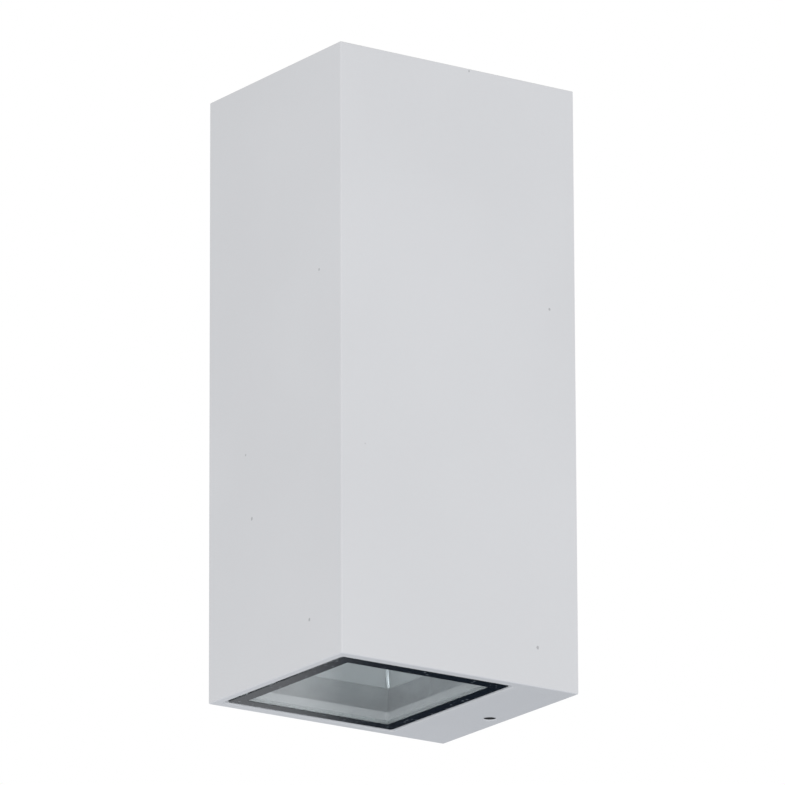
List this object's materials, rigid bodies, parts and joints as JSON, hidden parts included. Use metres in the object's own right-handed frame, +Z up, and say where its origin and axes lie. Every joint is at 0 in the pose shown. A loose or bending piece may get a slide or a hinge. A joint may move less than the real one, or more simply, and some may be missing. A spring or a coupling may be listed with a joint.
{
  "type": "outdoor wall lantern",
  "caption": "Square-section outdoor wall lantern: a tall painted box on a hidden bracket, with a flush black-bordered glass window at each end over a twist-and-lock lamp.",
  "frame": {"origin": "centre of the wall face, on the axis of the cable entry", "axes": "+X to the right seen from the room, +Y into the wall, +Z up"},
  "size_m": [0.09, 0.108, 0.24],
  "materials": {
    "housing_paint": "satin powder coat",
    "seal_foam": "closed-cell foam",
    "galvanised_steel": "zinc plated",
    "black_rubber": "matte",
    "white_silicone": "translucent white sealant",
    "screw_steel": "stainless",
    "clear_glass": "clear toughened",
    "black_enamel": "fired black border",
    "reflector_aluminium": "bright sheet",
    "white_ceramic": "glazed steatite",
    "brass": "bright",
    "lamp_shell": "satin",
    "nickel_pins": "nickel plated",
    "lens_plastic": "prismatic clear",
    "led_board": "white board",
    "block_plastic": "natural polyamide",
    "earth_insulation": "green and yellow",
    "live_insulation": "brown",
    "neutral_insulation": "blue"
  },
  "bodies": {
    "bracket": {"wall_bracket": "galvanised_steel", "cable_grommet": "black_rubber"},
    "housing_body": {"block_screws": "screw_steel", "earth_lead": "earth_insulation", "earth_nut": "brass", "earth_screw": "brass", "earth_tag": "brass", "gear_tray": "galvanised_steel", "holder_bracket": "galvanised_steel", "holder_bracket_nuts": "screw_steel", "holder_bracket_screws": "screw_steel", "holder_screws": "screw_steel", "housing": "housing_paint", "lower_glass_gasket": "white_silicone", "lower_holder_contacts": "brass", "lower_lampholder": "white_ceramic", "lower_live_lead": "live_insulation", "lower_neutral_lead": "neutral_insulation", "lower_reflector": "reflector_aluminium", "rear_seal": "seal_foam", "reflector_screws": "screw_steel", "terminal_block": "block_plastic", "terminal_clamps": "brass", "terminal_screws": "screw_steel", "tray_bush": "black_rubber", "tray_screws": "screw_steel", "upper_glass_gasket": "white_silicone", "upper_holder_contacts": "brass", "upper_lampholder": "white_ceramic", "upper_live_lead": "live_insulation", "upper_neutral_lead": "neutral_insulation", "upper_reflector": "reflector_aluminium"},
    "lower_pane": {"lower_glass": "clear_glass", "lower_glass_border": "black_enamel"},
    "upper_pane": {"upper_glass": "clear_glass", "upper_glass_border": "black_enamel"},
    "lower_lamp": {"lower_lamp_body": "lamp_shell", "lower_lamp_pins": "nickel_pins", "lower_lamp_lens": "lens_plastic", "lower_lamp_board": "led_board"},
    "upper_lamp": {"upper_lamp_body": "lamp_shell", "upper_lamp_pins": "nickel_pins", "upper_lamp_lens": "lens_plastic", "upper_lamp_board": "led_board"},
    "lower_grub": {"lower_set_screw": "screw_steel"},
    "upper_grub": {"upper_set_screw": "screw_steel"}
  },
  "joints": [
    {"name": "housing_slide_off", "type": "slide", "parent": "bracket", "child": "housing_body", "axis": [0, -1, 0], "range_m": [0, 0.06]},
    {"name": "lower_glass_pull", "type": "slide", "parent": "housing_body", "child": "lower_pane", "axis": [0, 0, -1], "range_m": [0, 0.03]},
    {"name": "upper_glass_pull", "type": "slide", "parent": "housing_body", "child": "upper_pane", "axis": [0, 0, 1], "range_m": [0, 0.03]},
    {"name": "lower_lamp_twist", "type": "hinge", "parent": "housing_body", "child": "lower_lamp", "pos_m": [0, -0.0655, -0.0355], "axis": [0, 0, 1], "range_deg": [0, 25]},
    {"name": "upper_lamp_twist", "type": "hinge", "parent": "housing_body", "child": "upper_lamp", "pos_m": [0, -0.0655, 0.0355], "axis": [0, 0, -1], "range_deg": [0, 25]},
    {"name": "lower_set_screw_back_out", "type": "slide", "parent": "housing_body", "child": "lower_grub", "axis": [0, 0, -1], "range_m": [0, 0.0035]},
    {"name": "upper_set_screw_back_out", "type": "slide", "parent": "housing_body", "child": "upper_grub", "axis": [0, 0, 1], "range_m": [0, 0.0035]}
  ]
}
